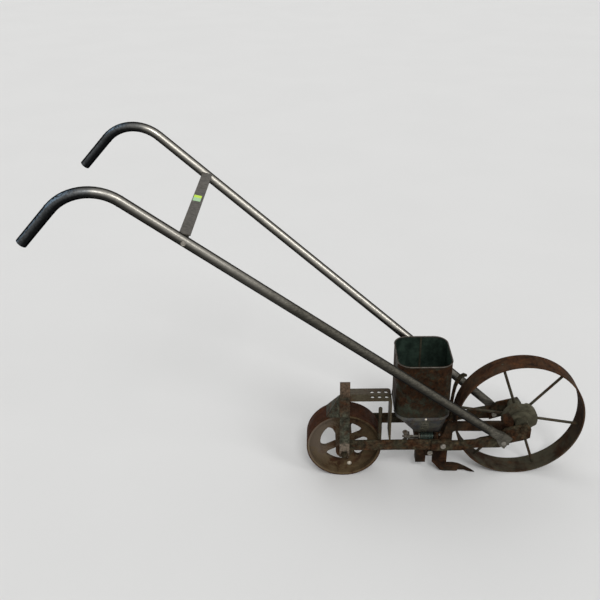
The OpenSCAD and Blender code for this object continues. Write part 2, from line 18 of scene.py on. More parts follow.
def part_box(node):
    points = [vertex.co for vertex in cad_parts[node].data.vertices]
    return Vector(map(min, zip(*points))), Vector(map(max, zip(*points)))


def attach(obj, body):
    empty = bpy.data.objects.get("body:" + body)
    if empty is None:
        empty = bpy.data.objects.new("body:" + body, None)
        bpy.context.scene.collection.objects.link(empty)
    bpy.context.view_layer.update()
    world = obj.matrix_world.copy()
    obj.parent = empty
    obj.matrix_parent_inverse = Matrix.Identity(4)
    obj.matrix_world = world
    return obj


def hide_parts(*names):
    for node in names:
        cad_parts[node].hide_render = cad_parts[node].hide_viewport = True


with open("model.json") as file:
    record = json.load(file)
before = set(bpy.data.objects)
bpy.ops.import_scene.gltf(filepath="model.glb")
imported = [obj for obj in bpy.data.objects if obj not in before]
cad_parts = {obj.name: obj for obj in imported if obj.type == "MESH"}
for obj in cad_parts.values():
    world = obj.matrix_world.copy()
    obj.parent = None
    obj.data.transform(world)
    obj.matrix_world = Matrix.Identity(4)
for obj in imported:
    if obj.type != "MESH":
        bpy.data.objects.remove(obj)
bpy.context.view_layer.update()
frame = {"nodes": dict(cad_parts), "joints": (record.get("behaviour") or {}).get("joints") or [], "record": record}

bl_info = {
    "name": "Seed drill dressing",
    "version": (1, 0, 0),
    "blender": (4, 5, 0),
    "location": "3D View > Sidebar > Seed drill",
    "description": "Worn finishes and small parts for a walk-behind seed drill",
    "category": "Object",
}

SHEET = 0.0016  # thickness of the can's sheet
CAN_CORNER = 0.042  # outer corner radius of the can
SUNK = 0.0003  # how far an added piece reaches into what carries it


def joint_place(name):
    """Point of a joint in the row frame."""
    return Vector(next(j["pos_m"] for j in frame["joints"] if j["name"] == name))


REAR_AXLE = joint_place("rear_wheel_spin")
FRONT_AXLE = joint_place("front_wheel_spin")


def box_centre(node):
    """Middle of a CAD node's box."""
    low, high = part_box(node)
    return (low + high) / 2


def linear(v):
    """Display value to the linear value that the shaders use."""
    return v / 12.92 if v <= 0.04045 else ((v + 0.055) / 1.055) ** 2.4


def sized(name, description, default, low=0.0, high=1.0):
    """A length property in metres."""
    return FloatProperty(
        name=name, description=description, default=default, min=low, max=high, unit="LENGTH", precision=4
    )


def tinted(name, description, *display):
    """A colour property from display values of 0 to 255."""
    return FloatVectorProperty(
        name=name, description=description, subtype="COLOR", size=3, min=0.0, max=1.0,
        default=[linear(v / 255) for v in display],
    )


class DrillSizes(bpy.types.PropertyGroup):
    """Sizes of what is added to the CAD pieces."""

    bead_radius: sized("Rim bead radius", "Radius of the wired edge round the top of the hopper", 0.0021)
    seam_width: sized("Lap seam width", "Width of the folded seam up the back of the hopper", 0.0066)
    rivet_radius: sized("Rivet radius", "Radius of the round rivet heads", 0.0038)
    rivet_height: sized("Rivet height", "How far a rivet head stands up", 0.0020)
    wire_radius: sized("Spring wire radius", "Radius of the wire of the shut-off spring", 0.0014)
    spring_turns: IntProperty(
        name="Spring turns", description="Turns of the shut-off spring", default=9, min=3, max=20
    )
    sticker_width: sized("Sticker width", "Width of the blank sticker on the brace", 0.021)


class DrillColours(bpy.types.PropertyGroup):
    """Colours of the finishes."""

    chrome: tinted("Bright plating", "Plating of the handle tubes", 174, 170, 161)
    chrome_dull: tinted("Dull plating", "Weathered lower part of the handle tubes", 76, 73, 64)
    grip: tinted("Grip tarnish", "Dark tarnish of the grips", 72, 76, 80)
    # Colour of a painted bluish highlight along the upper edge of the grip ends.
    grip_glint: tinted("Grip tip", "Bluish tarnish at the very end of the grips", 88, 104, 118)
    rust_dark: tinted("Dark rust", "Old dark rust", 35, 23, 16)
    rust_mid: tinted("Brown rust", "Brown rust", 66, 43, 28)
    rust_light: tinted("Orange rust", "Fresh orange rust", 110, 68, 38)
    scale_grey: tinted("Mill scale", "Grey scale between the rust", 60, 56, 45)
    paint_green: tinted("Green paint", "Old green paint of the hopper", 32, 42, 36)
    patina: tinted("Green patina", "Grey green weathered paint of the posts", 66, 67, 56)
    hub_olive: tinted("Hub dust", "Olive grey dust on the front hub", 89, 86, 71)
    web_olive: tinted("Web dust", "Olive brown dust on the web of the press wheel", 96, 82, 60)
    post_red: tinted("Post rust", "Reddish rust near the top of the posts", 95, 78, 64)
    post_pale: tinted("Post foot", "Pale rubbed foot of the posts", 114, 102, 90)
    bowl_grey: tinted("Bowl grey", "Blue grey of the hopper bowl", 60, 61, 62)
    spring_teal: tinted("Spring teal", "Teal coat of the spring", 66, 82, 76)
    bolt_bright: tinted("Bolt steel", "Newer bolts and nuts", 150, 145, 136)
    # Near-white colour for painted glints on the web bolt and on the middle pair of hopper rivets.
    glint_white: tinted("Bright steel", "The few new bolt and rivet heads", 226, 218, 202)
    brace_grey: tinted("Brace grey", "Bare steel of the handle brace", 90, 86, 80)
    sticker_lime: tinted("Sticker lime", "Bright end of the blank sticker", 190, 226, 44)
    sticker_pale: tinted("Sticker pale", "Pale end of the blank sticker", 160, 200, 150)
    floor: tinted("Floor", "Plain pale floor", 222, 222, 221)


def sizes():
    return bpy.context.scene.seed_drill_sizes


def colours():
    return bpy.context.scene.seed_drill_colours


def shaded(colour, share=1.0):
    """A colour at a share of its brightness, with alpha, for a node's socket."""
    return (*(min(1.0, v * share) for v in colour[:3]), 1.0)


# Shader building blocks


class Nodes:
    """Adds nodes to one tree and links them; place is the pattern's coordinates."""

    def __init__(self, tree, place=None):
        self.tree = tree
        self.place = place

    def fill(self, socket, value):
        """Links a socket to another node's output, or gives it a plain value."""
        if isinstance(value, bpy.types.NodeSocket):
            self.tree.links.new(value, socket)
        else:
            socket.default_value = value

    def add(self, kind, inputs=None, **settings):
        """Adds a node, sets its fields, and fills or links its inputs."""
        made = self.tree.nodes.new(kind)
        for field, value in settings.items():
            setattr(made, field, value)
        for socket, value in (inputs or {}).items():
            self.fill(made.inputs[socket], value)
        return made

    def maths(self, operation, a, b=0.5, clamp=False):
        return self.add("ShaderNodeMath", {0: a, 1: b}, operation=operation, use_clamp=clamp).outputs[0]

    def times(self, value, *factors):
        for factor in factors:
            value = self.maths("MULTIPLY", value, factor)
        return value

    def plus(self, a, b, clamp=False):
        return self.maths("ADD", a, b, clamp)

    def minus(self, a, b, clamp=False):
        return self.maths("SUBTRACT", a, b, clamp)

    def larger(self, a, b):
        return self.maths("MAXIMUM", a, b)

    def span(self, value, low, high, to_low, to_high, interpolation="LINEAR"):
        """Stretches low..high to to_low..to_high and holds it there."""
        inputs = {"Value": value, "From Min": low, "From Max": high, "To Min": to_low, "To Max": to_high}
        return self.add("ShaderNodeMapRange", inputs, interpolation_type=interpolation).outputs[0]

    def spread(self, value, low, high):
        """Stretches low..high to 0..1 with soft ends."""
        return self.span(value, low, high, 0.0, 1.0, "SMOOTHSTEP")

    def mix(self, factor, a, b, blend_type="MIX"):
        """Mixes two colours; the result is the colour output."""
        inputs = {0: factor, 6: a, 7: b}
        return self.add("ShaderNodeMix", inputs, data_type="RGBA", blend_type=blend_type).outputs[2]

    def filtered(self, colour, share):
        """A colour multiplied by another colour or by a value."""
        return self.mix(1.0, colour, share, "MULTIPLY")

    def noise(self, scale, detail, roughness=0.5, distortion=0.0, place=None):
        inputs = {"Vector": place or self.place, "Scale": scale, "Detail": detail, "Roughness": roughness,
                  "Distortion": distortion}
        return self.add("ShaderNodeTexNoise", inputs).outputs[0]

    def dot(self, a, b):
        return self.add("ShaderNodeVectorMath", {0: a, 1: b}, operation="DOT_PRODUCT").outputs["Value"]

    def away(self, point):
        """Vector from a fixed point to the surface."""
        return self.add("ShaderNodeVectorMath", {0: self.place, 1: point}, operation="SUBTRACT").outputs[0]

    def split(self, vector):
        """The X, Y and Z outputs of a vector."""
        return self.add("ShaderNodeSeparateXYZ", {0: vector}).outputs


class Group(Nodes):
    """A node group with named sockets: given holds its inputs and result its outputs."""

    def __init__(self, name, kind, inputs, outputs):
        tree = bpy.data.node_groups.new(name, kind)
        for socket, socket_type, default in inputs:
            made = tree.interface.new_socket(socket, in_out="INPUT", socket_type=f"NodeSocket{socket_type}")
            if default is not None:
                made.default_value = default
        for socket, socket_type in outputs:
            tree.interface.new_socket(socket, in_out="OUTPUT", socket_type=f"NodeSocket{socket_type}")
        self.given = tree.nodes.new("NodeGroupInput").outputs
        self.result = tree.nodes.new("NodeGroupOutput").inputs
        super().__init__(tree, self.given.get("Vector"))

    def give(self, **values):
        """Fills the group's outputs and returns its tree."""
        for socket, value in values.items():
            self.fill(self.result[socket], value)
        return self.tree


def build_rust_group():
    """Rust in two sizes of patch, with its own changing colour and pitted height."""
    g = Group("Rust", "ShaderNodeTree", (
        ("Vector", "Vector", None),
        ("Scale", "Float", 12.0),
        ("Amount", "Float", 0.5),
        ("Softness", "Float", 0.1),
        ("Dark", "Color", (0.05, 0.02, 0.01, 1)),
        ("Middle", "Color", (0.14, 0.06, 0.03, 1)),
        ("Light", "Color", (0.34, 0.14, 0.05, 1)),
    ), (("Mask", "Float"), ("Color", "Color"), ("Height", "Float")))
    scale, softness = g.given["Scale"], g.given["Softness"]
    big = g.noise(scale, 8.0, 0.68, 0.35)
    fine = g.noise(g.times(scale, 7.0), 6.0, 0.7)
    both = g.plus(g.times(big, 0.72), g.times(fine, 0.28))
    edge = g.minus(0.78, g.times(g.given["Amount"], 0.56))
    mask = g.spread(both, g.minus(edge, softness), g.plus(edge, softness))
    tone = g.noise(g.times(scale, 2.3), 7.0, 0.72, 0.5)
    colour = g.mix(g.spread(tone, 0.34, 0.56), g.given["Dark"], g.given["Middle"])
    colour = g.mix(g.spread(tone, 0.56, 0.74), colour, g.given["Light"])
    speck = g.noise(g.times(scale, 22.0), 3.0, 0.6)
    colour = g.filtered(colour, g.span(speck, 0.3, 0.7, 0.72, 1.22))
    height = g.plus(g.times(fine, 0.6), g.times(speck, 0.4))
    return g.give(Mask=mask, Color=colour, Height=height)


def build_wear_group():
    """Mask of rubbed outer edges, broken up by noise, and the rounded normal along the edges."""
    g = Group("Edge wear", "ShaderNodeTree", (("Vector", "Vector", None), ("Scale", "Float", 60.0)),
              (("Mask", "Float"), ("Normal", "Vector")))
    rounded = g.add("ShaderNodeBevel", {"Radius": 0.0016}, samples=4).outputs[0]
    surface = g.add("ShaderNodeNewGeometry").outputs["Normal"]
    turned = g.minus(1.0, g.dot(rounded, surface))
    breakup = g.noise(g.given["Scale"], 5.0, 0.65)
    worn = g.times(g.spread(turned, 0.01, 0.12), g.spread(breakup, 0.42, 0.60))
    return g.give(Mask=worn, Normal=rounded)


def build_dust_group():
    """Broad patchy mask of dry soil and dust."""
    g = Group("Dust", "ShaderNodeTree", (
        ("Vector", "Vector", None),
        ("Scale", "Float", 9.0),
        ("Amount", "Float", 0.4),
    ), (("Mask", "Float"),))
    broad = g.noise(g.given["Scale"], 9.0, 0.6, 0.8)
    return g.give(Mask=g.maths("MULTIPLY", g.spread(broad, 0.38, 0.66), g.given["Amount"], clamp=True))


def build_fleck_group():
    """A colour broken up by fine noise, between two shares of its brightness."""
    g = Group("Flecks", "ShaderNodeTree", (
        ("Vector", "Vector", None),
        ("Color", "Color", (0.5, 0.5, 0.5, 1)),
        ("Scale", "Float", 100.0),
        ("Low", "Float", 0.5),
        ("High", "Float", 1.5),
    ), (("Color", "Color"),))
    fleck = g.noise(g.given["Scale"], 5.0, 0.74)
    share = g.span(fleck, 0.36, 0.64, g.given["Low"], g.given["High"])
    return g.give(Color=g.filtered(g.given["Color"], share))


def shared_group(name, builder):
    return bpy.data.node_groups.get(name) or builder()


class Finish(Nodes):
    """A material with its Principled shader, its Object coordinates and its normal."""

    def __init__(self, name):
        self.material = bpy.data.materials.new(name)
        self.material.use_nodes = True
        tree = self.material.node_tree
        tree.nodes.clear()
        super().__init__(tree)
        self.shader = self.add("ShaderNodeBsdfPrincipled")
        self.add("ShaderNodeOutputMaterial", {0: self.shader.outputs[0]})
        coords = self.add("ShaderNodeTexCoord").outputs
        self.place, self.normal = coords["Object"], coords["Normal"]

    def feed(self, socket, value):
        self.fill(self.shader.inputs[socket], value)

    @property
    def colour(self):
        """What feeds the base colour."""
        return self.shader.inputs["Base Color"].links[0].from_socket

    @colour.setter
    def colour(self, value):
        self.feed("Base Color", value)

    def relief(self, strength, distance, height, normal=None):
        """Bump of a height, over the surface's own normal or the one given."""
        inputs = {"Strength": strength, "Distance": distance, "Height": height}
        if normal is not None:
            inputs["Normal"] = normal
        self.feed("Normal", self.add("ShaderNodeBump", inputs).outputs[0])

    def rust(self, scale, amount, softness=0.08):
        c = colours()
        inputs = {"Vector": self.place, "Scale": scale, "Amount": amount, "Softness": softness,
                  "Dark": shaded(c.rust_dark), "Middle": shaded(c.rust_mid), "Light": shaded(c.rust_light)}
        return self.add("ShaderNodeGroup", inputs, node_tree=shared_group("Rust", build_rust_group)).outputs

    def wear(self, scale):
        inputs = {"Vector": self.place, "Scale": scale}
        group = shared_group("Edge wear", build_wear_group)
        return self.add("ShaderNodeGroup", inputs, node_tree=group).outputs

    def dust(self, scale, amount, place=None):
        inputs = {"Vector": place or self.place, "Scale": scale, "Amount": amount}
        group = shared_group("Dust", build_dust_group)
        return self.add("ShaderNodeGroup", inputs, node_tree=group).outputs["Mask"]

    def flecked(self, colour, scale, low, high):
        inputs = {"Vector": self.place, "Color": colour, "Scale": scale, "Low": low, "High": high}
        group = shared_group("Flecks", build_fleck_group)
        return self.add("ShaderNodeGroup", inputs, node_tree=group).outputs["Color"]

    def facing_from(self, point):
        """Above 0 where the surface faces away from a point, and below 0 where it faces the point."""
        return self.dot(self.away(point), self.normal)


# Finishes


def worn_iron(name, base, rust_scale, rust_amount, dust_amount=0.25, rough=0.62, metal=0.55, bump=0.35,
              tint=None, gloss=0.06, shade=None):
    """Old iron: base colour, rust patches over it, dust, rubbed edges and a pitted skin."""
    f, c = Finish(name), colours()
    rust, wear = f.rust(rust_scale, rust_amount), f.wear(60.0)
    dust = f.dust(rust_scale * 0.8, dust_amount)
    tone = f.noise(rust_scale * 3.1, 6.0, 0.66)
    colour = f.mix(f.spread(tone, 0.34, 0.68), shaded(base, 0.62), shaded(base, 1.22))
    if tint is not None:
        patch = f.noise(rust_scale * 0.9, 7.0, 0.7)
        colour = f.mix(f.spread(patch, 0.46, 0.58), colour, shaded(tint))
    colour = f.mix(rust["Mask"], colour, rust["Color"])
    colour = f.mix(dust, colour, shaded(c.hub_olive))
    colour = f.mix(f.times(wear["Mask"], 0.55), colour, shaded(c.scale_grey))
    if shade is not None:
        colour = f.filtered(colour, shaded(shade))
    f.colour = colour
    covered = f.larger(rust["Mask"], dust)
    f.feed("Metallic", f.times(f.minus(1.0, covered), metal))
    f.feed("Roughness", f.plus(rough, f.times(covered, 0.26), clamp=True))
    f.feed("Specular IOR Level", gloss)
    height = f.plus(f.times(rust["Height"], 0.7), f.times(rust["Mask"], 0.4))
    f.relief(bump, 0.0012, height, wear["Normal"])
    return f


def hoop_finish():
    """Brown rust outside the front hoop, darker on its inner face, with olive soil on its lower half."""
    c = colours()
    f = worn_iron("hoop_rust", c.rust_mid, 14.0, 0.62, dust_amount=0.18, rough=0.66, metal=0.3,
                  tint=c.rust_dark)
    inner = f.spread(f.facing_from(FRONT_AXLE), 0.02, -0.02)
    f.colour = f.mix(inner, f.colour, f.filtered(f.colour, (0.5, 0.51, 0.52, 1.0)))
    height = f.split(f.place)["Z"]
    patch = f.noise(13.0, 7.0, 0.66)
    low = f.spread(height, FRONT_AXLE.z - 0.02, FRONT_AXLE.z - 0.17)
    soil = f.times(low, f.spread(patch, 0.34, 0.60), 0.75)
    f.colour = f.mix(soil, f.colour, shaded(c.hub_olive, 0.62))
    return f


def spoke_finish():
    return worn_iron("spoke_steel", colours().scale_grey, 26.0, 0.42, dust_amount=0.3, rough=0.5, metal=0.6)


def hub_finish():
    olive = colours().hub_olive
    return worn_iron("hub_cast", olive, 16.0, 0.36, dust_amount=0.75, rough=0.72, metal=0.25, bump=0.5,
                     tint=shaded(olive, 0.55))


def rail_finish():
    """Olive grey scale under brown rust, broken up by fine pale flecks."""
    c = colours()
    f = worn_iron("rail_rust", shaded(c.scale_grey, 0.8), 24.0, 0.46, dust_amount=0.30, rough=0.66, metal=0.2,
                  tint=shaded(c.rust_mid, 0.6), shade=(0.92, 0.90, 0.82))
    f.colour = f.flecked(f.colour, 95.0, 0.34, 1.56)
    return f


def post_finish():
    """Weathered paint, reddish near the top of the posts and pale at their foot; the strap is darker olive brown
    on its near half and paler on its far half.
    """
    c = colours()
    f = worn_iron("post_patina", c.patina, 22.0, 0.40, dust_amount=0.2, rough=0.58, metal=0.15,
                  tint=shaded(c.patina, 0.40))
    low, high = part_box("rear_post_right")
    at = f.split(f.place)
    wobble = f.times(f.minus(f.noise(48.0, 8.0, 0.78), 0.5), 0.085)
    height = f.plus(at["Z"], wobble)
    post = f.times(f.spread(at["X"], high.x + 0.004, high.x + 0.001),
                   f.spread(at["X"], low.x - 0.004, low.x - 0.001))
    band = f.times(f.spread(height, high.z - 0.048, high.z - 0.080),
                   f.spread(height, high.z - 0.125, high.z - 0.095))
    for zone, share, colour in (
        (band, 0.45, shaded(c.rust_mid, 0.85)),
        (f.spread(height, high.z - 0.062, high.z - 0.026), 0.75, shaded(c.post_red)),
        (f.spread(height, low.z + 0.064, low.z + 0.050), 0.8, shaded(c.post_pale)),
        (f.spread(height, low.z + 0.034, low.z + 0.006), 0.7, shaded(c.rust_mid)),
    ):
        f.colour = f.mix(f.times(zone, post, share), f.colour, colour)
    f.colour = f.flecked(f.colour, 120.0, 0.42, 1.50)
    near = f.spread(at["Y"], -0.040, -0.047)
    strap = f.spread(at["X"], high.x + 0.001, high.x + 0.004)
    f.colour = f.mix(f.times(near, strap, 0.55), f.colour, shaded(c.web_olive, 0.62))
    f.colour = f.mix(f.times(f.minus(1.0, near), strap, 0.45), f.colour, shaded(c.post_pale, 0.75))
    return f


def press_wheel_finish():
    """Red brown rust on the tread, and olive dust on the web with three lighter zones towards its rear, its front
    and its lower rear.
    """
    c = colours()
    f = worn_iron("press_wheel", c.rust_mid, 17.0, 0.50, dust_amount=0.15, rough=0.66, metal=0.2, bump=0.5)
    iron = f.colour
    away = f.away(REAR_AXLE)
    flat = f.add("ShaderNodeVectorMath", {0: away, 1: (1.0, 0.0, 1.0)}, operation="MULTIPLY").outputs[0]
    reach = f.add("ShaderNodeVectorMath", {0: flat}, operation="LENGTH").outputs["Value"]
    patch = f.noise(24.0, 8.0, 0.7, 0.6)
    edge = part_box("rear_wheel")[1].x - REAR_AXLE.x
    web = f.spread(reach, edge - 0.0015, edge - 0.004)
    colour = f.mix(f.times(f.spread(patch, 0.40, 0.60), web, 0.74), iron, shaded(c.web_olive, 0.8))
    uneven = f.times(f.minus(patch, 0.5), 0.20)
    for direction, near, far, share, tone in (
        ((-1.0, 0.0, 0.1), 0.010, 0.085, 0.75, shaded(c.post_pale, 0.78)),
        ((1.0, 0.0, 0.0), 0.020, 0.090, 0.55, shaded(c.web_olive, 0.7)),
        ((-0.5, 0.0, -0.86), 0.070, 0.100, 0.65, shaded(c.web_olive)),
    ):
        zone = f.spread(f.plus(f.dot(away, direction), uneven), near, far)
        colour = f.mix(f.times(zone, web, share), colour, tone)
    f.colour = f.mix(web, f.filtered(iron, (0.78, 0.58, 0.48, 1.0)), colour)
    return f


def seam_finish():
    """Dull brown of the lap seam, where the paint has gone from the fold."""
    return worn_iron("seam_brown", shaded(colours().hub_olive, 0.42), 60.0, 0.30, dust_amount=0.2, rough=0.7,
                     metal=0.0, bump=0.3)


def dark_iron_finish():
    return worn_iron("dark_iron", shaded(colours().rust_dark, 0.8), 22.0, 0.5, dust_amount=0.20, rough=0.66,
                     metal=0.3, bump=0.5, shade=(0.86, 0.83, 0.79))


def bolt_finish():
    return worn_iron("bolt_steel", colours().bolt_bright, 55.0, 0.24, dust_amount=0.2, rough=0.42,
                     metal=0.75, bump=0.2)


def shutoff_finish():
    """Dull, dusty steel of the shut-off rod, its bracket and its wing nut."""
    return worn_iron("dull_steel", shaded(colours().bolt_bright, 0.44), 55.0, 0.42, dust_amount=0.45,
                     rough=0.56, metal=0.4, bump=0.3)


# Near-white steel whose colour stands for a painted glint.
def glint_finish():
    return worn_iron("bright_steel", colours().glint_white, 70.0, 0.16, dust_amount=0.12, rough=0.34,
                     metal=0.8, bump=0.1, gloss=0.4)


def brace_finish():
    return worn_iron("brace_grey", colours().brace_grey, 30.0, 0.12, dust_amount=0.1, rough=0.44,
                     metal=0.7, bump=0.12)


def spring_finish():
    return worn_iron("spring_teal", colours().spring_teal, 60.0, 0.3, dust_amount=0.2, rough=0.38, metal=0.7,
                     bump=0.15, gloss=0.4)


def bowl_finish():
    """Blue grey bowl with a paler lip, rust runs and a rough flecked patch on the near face."""
    f, c = Finish("bowl_grey"), colours()
    _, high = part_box("hopper_bowl")
    at = f.split(f.place)
    drawn = f.add("ShaderNodeMapping", {"Vector": f.place, "Scale": (2.2, 2.2, 0.5)}).outputs[0]
    rust, wear, dust = f.rust(24.0, 0.40, 0.1), f.wear(70.0), f.dust(18.0, 0.55, drawn)
    tone = f.spread(f.noise(45.0, 6.0), 0.3, 0.7)
    colour = f.mix(tone, shaded(c.bowl_grey, 0.66), shaded(c.bowl_grey, 1.12))
    lip = f.spread(at["Z"], high.z - 0.0125, high.z - 0.0085)
    colour = f.mix(f.times(lip, 0.6), colour, shaded(c.bowl_grey, 1.9))
    colour = f.mix(f.times(rust["Mask"], 0.7), colour, rust["Color"])
    colour = f.mix(dust, colour, shaded(c.hub_olive))
    sideways = f.maths("ABSOLUTE", f.minus(at["X"], box_centre("hopper_can").x + 0.010))
    patch = f.times(f.spread(sideways, 0.019, 0.009), f.spread(at["Y"], -0.030, -0.036),
                    f.spread(at["Z"], high.z - 0.009, high.z - 0.016))
    rough = f.flecked(f.mix(0.75, colour, shaded(c.hub_olive, 0.62)), 170.0, 0.0, 2.4)
    f.colour = f.mix(patch, colour, rough)
    f.feed("Metallic", 0.15)
    f.feed("Specular IOR Level", 0.08)
    f.feed("Roughness", f.plus(0.48, f.times(rust["Mask"], 0.35)))
    f.relief(0.4, 0.001, rust["Height"], wear["Normal"])
    return f


def hopper_finish():
    """Green paint inside the can; outside it is mostly rust with green left in runs and at the foot."""
    f, c = Finish("hopper_paint"), colours()
    low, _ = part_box("hopper_can")
    inside = f.spread(f.facing_from(box_centre("hopper_can")), 0.01, -0.01)
    outside = f.minus(1.0, inside)
    rust, inner_rust, wear = f.rust(36.0, 0.58, 0.09), f.rust(26.0, 0.22, 0.05), f.wear(80.0)
    tone = f.spread(f.noise(30.0, 7.0, 0.65), 0.34, 0.66)
    green = f.mix(tone, shaded(c.paint_green, 0.6), shaded(c.paint_green, 1.5))
    faded = f.mix(0.22, f.filtered(green, (1.5, 1.3, 1.2, 1.0)), shaded(c.rust_mid, 0.6))
    green = f.mix(inside, faded, f.filtered(green, (1.5, 1.5, 1.5, 1.0)))
    foot = f.spread(f.split(f.place)["Z"], low.z + 0.05, low.z + 0.01)
    outer_mask = f.minus(rust["Mask"], f.times(foot, 0.45), clamp=True)
    mask = f.plus(f.times(outer_mask, outside), f.times(inner_rust["Mask"], 0.55, inside))
    outer_rust = f.filtered(rust["Color"], (0.54, 0.55, 0.52, 1.0))
    colour = f.mix(mask, green, f.mix(inside, outer_rust, inner_rust["Color"]))
    f.colour = f.mix(f.times(wear["Mask"], 0.6), colour, shaded(c.rust_mid))
    f.feed("Roughness", f.plus(0.46, f.times(mask, 0.32)))
    f.feed("Metallic", 0.04)
    f.feed("Specular IOR Level", 0.05)
    dents = f.times(f.noise(11.0, 1.0), 3.0)
    f.relief(0.35, 0.0012, f.plus(f.plus(rust["Height"], f.times(mask, -0.5)), dents), wear["Normal"])
    return f


def tube_reflection(f, dull):
    """Painted reflection and shade for the plating's colour: dark on the underside and along the tube's rim, as in
    a dark room over a pale floor, with a painted reflection of the pale floor on part of the underside.
    """
    upward = f.split(f.normal)["Z"]
    below = f.span(upward, -0.22, 0.56, f.plus(0.10, f.times(dull, 0.24)), 1.0, "SMOOTHSTEP")
    near_side = f.dot(f.normal, (0.0, -0.77, 0.63))
    # Painted reflection of the pale floor on part of the underside.
    floor_light = f.times(f.spread(near_side, 0.05, -0.35), 0.60)
    topside = f.times(f.spread(upward, 0.25, 0.60), f.minus(1.0, f.times(dull, 0.95)))
    facing = f.add("ShaderNodeLayerWeight", {"Blend": 0.5}).outputs["Facing"]
    rim_start = f.minus(0.28, f.times(topside, 0.22))
    rim_end = f.minus(0.62, f.times(topside, 0.15))
    rim = f.span(facing, rim_start, rim_end, 1.0, 0.12, "SMOOTHSTEP")
    return f.times(f.larger(below, floor_light), rim)


def handle_finish():
    """Plating with drawn scratches, tarnished at the grips, and dull and spotted at the lower end; painted
    reflection and shade are multiplied in, and a painted bluish highlight is laid on the grip ends.
    """
    f, c = Finish("bright_tube"), colours()
    low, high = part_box("handle_right")
    at = f.split(f.place)
    along = f.span(at["X"], low.x, high.x, 0.0, 1.0)
    shifted = f.plus(along, f.times(f.minus(f.noise(16.0, 8.0, 0.7), 0.5), 0.16))
    far_side = f.spread(at["Y"], -0.01, 0.01)
    dull_near, dull_far = f.spread(shifted, 0.27, 0.53), f.spread(shifted, 0.80, 0.92)
    dull = f.add("ShaderNodeMix", {0: far_side, 2: dull_near, 3: dull_far}).outputs[0]
    grip = f.spread(shifted, 0.19, 0.10)
    drawn = f.add("ShaderNodeMapping", {"Vector": f.place, "Rotation": (0.0, math.radians(-39.4), 0.0),
                                        "Scale": (6.0, 240.0, 240.0)}).outputs[0]
    scratches = f.noise(1.0, 4.0, 0.6, place=drawn)
    specks = f.noise(190.0, 5.0, 0.7)
    pits = f.times(f.spread(specks, 0.56, 0.68), f.spread(shifted, 0.2, 0.7))
    bright = f.mix(f.spread(scratches, 0.35, 0.7), shaded(c.chrome, 0.8), shaded(c.chrome))
    streaked = f.mix(f.spread(scratches, 0.36, 0.64), shaded(c.chrome_dull, 0.55),
                     shaded(c.chrome_dull, 1.25))
    colour = f.mix(f.times(dull, 0.9), bright, streaked)
    mottled = f.mix(f.spread(specks, 0.35, 0.65), shaded(c.grip, 0.6), shaded(c.grip, 1.5))
    colour = f.mix(f.times(grip, 0.92), colour, mottled)
    colour = f.mix(f.times(pits, 0.7), colour, shaded(c.rust_dark))
    flat_end = f.spread(along, 0.936, 0.948)
    # Painted reflection and shade multiplied into the plating's colour, except on the flattened end.
    colour = f.mix(f.minus(1.0, flat_end), colour, f.filtered(colour, tube_reflection(f, dull)))
    # Painted bluish highlight along the upper edge of the grip ends, laid over the painted shade.
    glint_facing = f.spread(f.dot(f.normal, (-0.22, -0.66, 0.72)), 0.91, 0.975)
    tip = f.times(f.spread(along, 0.13, 0.07), 0.85, glint_facing, f.spread(specks, 0.38, 0.56))
    f.colour = f.mix(tip, colour, shaded(c.grip_glint, 2.2))
    f.feed("Metallic", f.minus(1.0, f.plus(f.times(dull, 0.35), f.times(pits, 0.4)), clamp=True))
    rough = 0.24
    for mask, share in ((dull, 0.22), (grip, 0.1), (scratches, 0.14), (pits, 0.3)):
        rough = f.plus(rough, f.times(mask, share))
    f.feed("Roughness", rough)
    f.feed("Specular Tint", (0.25, 0.25, 0.25, 1.0))
    f.feed("Specular IOR Level", 0.3)
    f.relief(0.12, 0.0005, scratches)
    return f


def sticker_finish(name, colour):
    """Blank coloured paper with a few scuffs."""
    f = Finish(name)
    scuff = f.noise(160.0, 6.0, 0.7)
    f.colour = f.mix(f.spread(scuff, 0.55, 0.75), shaded(colour), shaded([v * 0.6 + 0.2 for v in colour]))
    f.feed("Roughness", 0.45)
    f.relief(0.1, 0.0003, scuff)
    return f.material


FINISHES = {
    "hoop_rust": hoop_finish,
    "spoke_steel": spoke_finish,
    "hub_cast": hub_finish,
    "rail_rust": rail_finish,
    "post_patina": post_finish,
    "press_wheel": press_wheel_finish,
    "dark_iron": dark_iron_finish,
    "bolt_steel": bolt_finish,
    "brace_grey": brace_finish,
    "spring_teal": spring_finish,
    "bowl_grey": bowl_finish,
    "hopper_paint": hopper_finish,
    "bright_tube": handle_finish,
    "bright_steel": glint_finish,
    "seam_brown": seam_finish,
    "dull_steel": shutoff_finish,
}


def finish_of(slot):
    """The worn material of a record slot or of a finish here, built the first time it is asked for."""
    name = f"{slot}_worn"
    if name not in bpy.data.materials:
        FINISHES[slot]().material.name = name
    return bpy.data.materials[name]


def coat(*nodes, finish=None):
    """Gives CAD nodes the finish of their own slot, or the one that is named."""
    slots = {part["node"]: part["material_slot"] for part in frame["record"]["subparts"]}
    for name in nodes:
        mesh = frame["nodes"][name].data
        mesh.materials.clear()
        mesh.materials.append(finish_of(finish or slots[name]))


# Pieces


def place_piece(name, mesh, body):
    """Puts a mesh in the scene as a piece of a body."""
    made = bpy.data.objects.new(name, mesh)
    bpy.context.scene.collection.objects.link(made)
    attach(made, body)
    return made


def new_piece(name, build, body, slot, smooth_angle=35.0, material=None):
    """Makes an object from a function that fills a bmesh, and rides it on a body."""
    bm = bmesh.new()
    build(bm)
    bmesh.ops.recalc_face_normals(bm, faces=bm.faces)
    mesh = bpy.data.meshes.new(name)
    bm.to_mesh(mesh)
    bm.free()
    mesh.materials.append(material or finish_of(slot))
    for face in mesh.polygons:
        face.use_smooth = True
    mesh.set_sharp_from_angle(angle=math.radians(smooth_angle))
    return place_piece(name, mesh, body)


